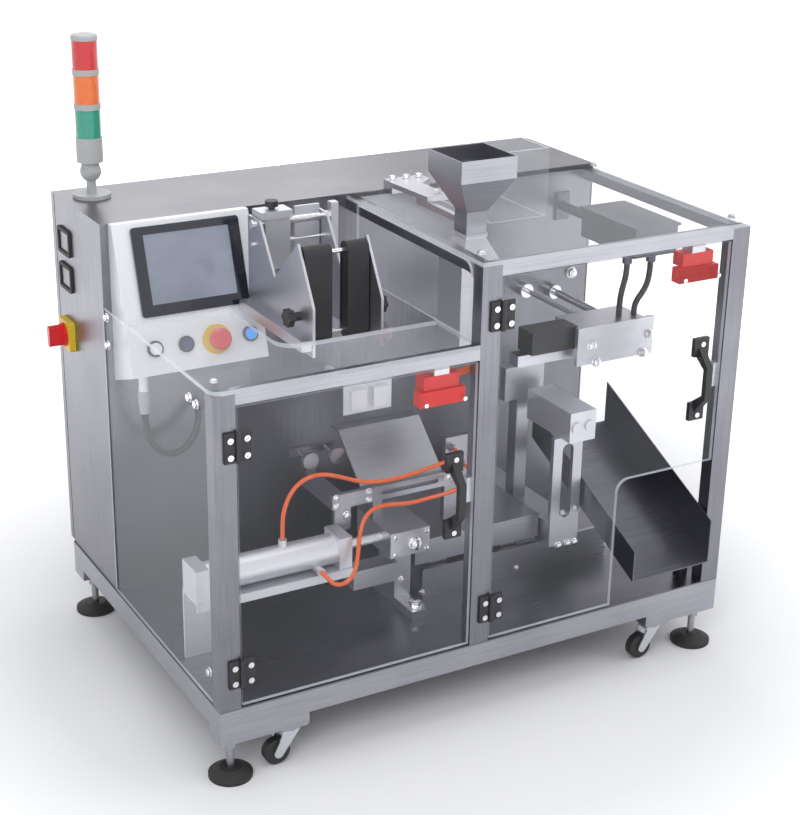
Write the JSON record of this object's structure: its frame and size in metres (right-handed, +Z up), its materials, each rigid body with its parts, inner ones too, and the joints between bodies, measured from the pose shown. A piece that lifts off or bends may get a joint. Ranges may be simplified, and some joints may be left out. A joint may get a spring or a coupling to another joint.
{
  "type": "pouch packing machine",
  "caption": "Compact floor-standing pouch packing machine with clear doors, a square product hopper, a pouch magazine, a control box, a stack light and a discharge chute.",
  "frame": {"origin": "on the floor under the middle of the machine's outline, cables aside", "axes": "+X along the front to the right, +Y from the operator's side to the rear cabinet, +Z up"},
  "size_m": [1.1424, 0.807, 1.2],
  "materials": {
    "belt_black": "matte",
    "black": "matte",
    "bright": "polished",
    "cable_black": "satin",
    "clear": "clear",
    "grey_plastic": "satin",
    "light_blue": "gloss",
    "machined": "satin",
    "navy": "gloss",
    "orange": "satin",
    "red": "gloss",
    "red_lens": "gloss",
    "seal_black": "matte",
    "sheet_steel": "brushed",
    "steel": "brushed",
    "tyre_black": "matte",
    "white_cap": "gloss",
    "white_face": "satin",
    "yellow": "gloss"
  },
  "bodies": {
    "frame": {"air_cylinder": "machined", "base_frame": "steel", "button_bezels": "black", "cabinet_seals": "seal_black", "carriage_cable_left": "cable_black", "carriage_cable_right": "cable_black", "carriage_head": "machined", "chute": "sheet_steel", "clamp_unit": "machined", "control_box": "white_face", "control_cabinet": "steel", "floor_sheet": "sheet_steel", "foot_pads": "black", "forming_plates": "machined", "frame_fittings": "black", "gauge_panel": "white_face", "grip_cylinder": "machined", "guard_posts": "steel", "guard_rails": "steel", "guide_shafts": "bright", "hmi_cable": "cable_black", "hopper": "steel", "hopper_bracket": "steel", "hopper_shield": "clear", "hose_bundle": "orange", "isolator_plate": "yellow", "junction_box": "steel", "lower_air_tube": "orange", "magazine_belts": "belt_black", "magazine_knobs": "black", "magazine_plates": "machined", "magazine_shafts": "bright", "mounting_bars": "steel", "platform": "sheet_steel", "rear_doors": "sheet_steel", "side_panels": "clear", "stack_lenses": "red_lens", "stack_mount": "grey_plastic", "top_sheets": "clear", "touchscreen": "black", "transfer_supports": "machined", "upper_air_tube": "orange"},
    "left_door": {"left_door": "clear", "left_door_fittings": "black"},
    "right_door": {"right_door": "clear", "right_door_fittings": "black"},
    "isolator": {"isolator_handle": "red"},
    "stop_button": {"stop_button": "red"},
    "start_button": {"start_button": "white_cap"},
    "mode_button": {"mode_button": "navy"},
    "reset_button": {"reset_button": "light_blue"},
    "fork_front_left": {"castor_fork_front_left": "steel"},
    "wheel_front_left": {"castor_wheel_front_left": "tyre_black"},
    "fork_front_right": {"castor_fork_front_right": "steel"},
    "wheel_front_right": {"castor_wheel_front_right": "tyre_black"},
    "fork_rear_left": {"castor_fork_rear_left": "steel"},
    "wheel_rear_left": {"castor_wheel_rear_left": "tyre_black"},
    "fork_rear_right": {"castor_fork_rear_right": "steel"},
    "wheel_rear_right": {"castor_wheel_rear_right": "tyre_black"}
  },
  "joints": [
    {"name": "left_door_hinge", "type": "hinge", "parent": "frame", "child": "left_door", "pos_m": [-0.48735, -0.3715, 0.433], "axis": [0, 0, 1], "range_deg": [-110, 0]},
    {"name": "right_door_hinge", "type": "hinge", "parent": "frame", "child": "right_door", "pos_m": [0.01665, -0.3715, 0.506], "axis": [0, 0, 1], "range_deg": [-110, 0]},
    {"name": "isolator_turn", "type": "hinge", "parent": "frame", "child": "isolator", "pos_m": [-0.53885, 0.3345, 0.624], "axis": [-1, 0, 0], "range_deg": [0, 90]},
    {"name": "start_button_press", "type": "slide", "parent": "frame", "child": "start_button", "axis": [0, 0.9525, -0.3044], "range_m": [0, 0.003], "stiffness_N_per_m": 400},
    {"name": "mode_button_press", "type": "slide", "parent": "frame", "child": "mode_button", "axis": [0, 0.9525, -0.3044], "range_m": [0, 0.003], "stiffness_N_per_m": 400},
    {"name": "reset_button_press", "type": "slide", "parent": "frame", "child": "reset_button", "axis": [0, 0.9525, -0.3044], "range_m": [0, 0.003], "stiffness_N_per_m": 400},
    {"name": "stop_button_press", "type": "slide", "parent": "frame", "child": "stop_button", "axis": [0, 0.9525, -0.3044], "range_m": [0, 0.004], "stiffness_N_per_m": 900},
    {"name": "castor_front_left_swivel", "type": "hinge", "parent": "frame", "child": "fork_front_left", "pos_m": [-0.38685, -0.3395, 0.07], "axis": [0, 0, 1], "continuous": true},
    {"name": "castor_front_left_roll", "type": "hinge", "parent": "fork_front_left", "child": "wheel_front_left", "pos_m": [-0.41185, -0.3395, 0.027], "axis": [0, 1, 0], "continuous": true},
    {"name": "castor_front_right_swivel", "type": "hinge", "parent": "frame", "child": "fork_front_right", "pos_m": [0.41915, -0.3395, 0.07], "axis": [0, 0, 1], "continuous": true},
    {"name": "castor_front_right_roll", "type": "hinge", "parent": "fork_front_right", "child": "wheel_front_right", "pos_m": [0.39415, -0.3395, 0.027], "axis": [0, 1, 0], "continuous": true},
    {"name": "castor_rear_left_swivel", "type": "hinge", "parent": "frame", "child": "fork_rear_left", "pos_m": [-0.38685, 0.3585, 0.07], "axis": [0, 0, 1], "continuous": true},
    {"name": "castor_rear_left_roll", "type": "hinge", "parent": "fork_rear_left", "child": "wheel_rear_left", "pos_m": [-0.41185, 0.3585, 0.027], "axis": [0, 1, 0], "continuous": true},
    {"name": "castor_rear_right_swivel", "type": "hinge", "parent": "frame", "child": "fork_rear_right", "pos_m": [0.41915, 0.3585, 0.07], "axis": [0, 0, 1], "continuous": true},
    {"name": "castor_rear_right_roll", "type": "hinge", "parent": "fork_rear_right", "child": "wheel_rear_right", "pos_m": [0.39415, 0.3585, 0.027], "axis": [0, 1, 0], "continuous": true}
  ]
}
